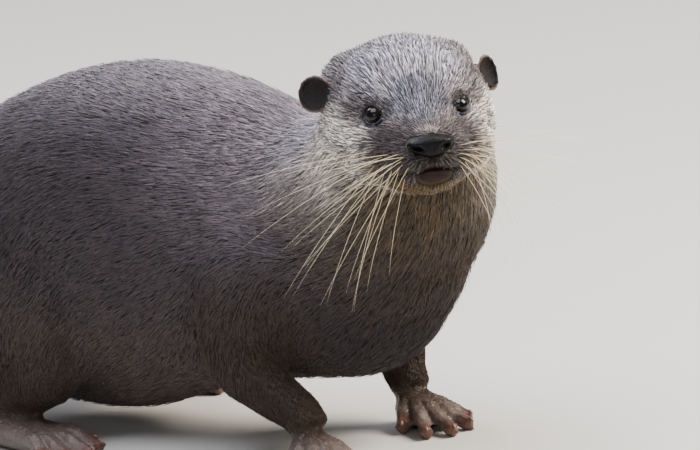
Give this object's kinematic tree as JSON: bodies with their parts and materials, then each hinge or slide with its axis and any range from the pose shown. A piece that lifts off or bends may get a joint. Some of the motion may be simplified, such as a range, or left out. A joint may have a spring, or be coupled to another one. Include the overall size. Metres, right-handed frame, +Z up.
{
  "type": "small-clawed river otter",
  "caption": "Life-size still model of a small-clawed river otter standing low on all fours, tail laid on the floor and head raised and turned to its right.",
  "frame": {"origin": "on the floor below the middle of the model's box", "axes": "+X from the tail towards the chest, +Y to the animal's left, +Z up"},
  "size_m": [0.679, 0.1698, 0.2033],
  "materials": {
    "coat": "dense dark grey-brown guard hair with a lavender-grey sheen over the back and warmer brown on the low flank",
    "pale_coat": "short pale beige hair of the cheeks, chin and throat",
    "bare_skin": "bare grey-brown skin of the feet, creased and slightly glossy, pinker at the toe tips",
    "nose_leather": "moist black pebbled nose pad",
    "ear_leather": "thin brown ear with a paler rim",
    "eye": "wet dark brown eye",
    "claw": "small blunt horn claws",
    "whisker": "stiff cream-coloured whisker hair, tapered"
  },
  "bodies": {
    "root": {"head": "coat", "jaw": "pale_coat", "neck": "coat", "chest": "coat", "belly": "coat", "rump": "coat", "tail_upper": "coat", "tail_middle": "coat", "tail_tip": "coat", "foreleg_left": "coat", "foreleg_right": "coat", "hindleg_left": "coat", "hindleg_right": "coat", "forefoot_left": "bare_skin", "forefoot_right": "bare_skin", "hindfoot_left": "bare_skin", "hindfoot_right": "bare_skin", "nose_pad": "nose_leather", "eye_left": "eye", "eye_right": "eye", "ear_left": "ear_leather", "ear_right": "ear_leather", "claw_fore_left_1": "claw", "claw_fore_left_2": "claw", "claw_fore_left_3": "claw", "claw_fore_left_4": "claw", "claw_fore_left_5": "claw", "claw_fore_right_1": "claw", "claw_fore_right_2": "claw", "claw_fore_right_3": "claw", "claw_fore_right_4": "claw", "claw_fore_right_5": "claw", "claw_hind_left_1": "claw", "claw_hind_left_2": "claw", "claw_hind_left_3": "claw", "claw_hind_left_4": "claw", "claw_hind_left_5": "claw", "claw_hind_right_1": "claw", "claw_hind_right_2": "claw", "claw_hind_right_3": "claw", "claw_hind_right_4": "claw", "claw_hind_right_5": "claw"}
  },
  "joints": []
}
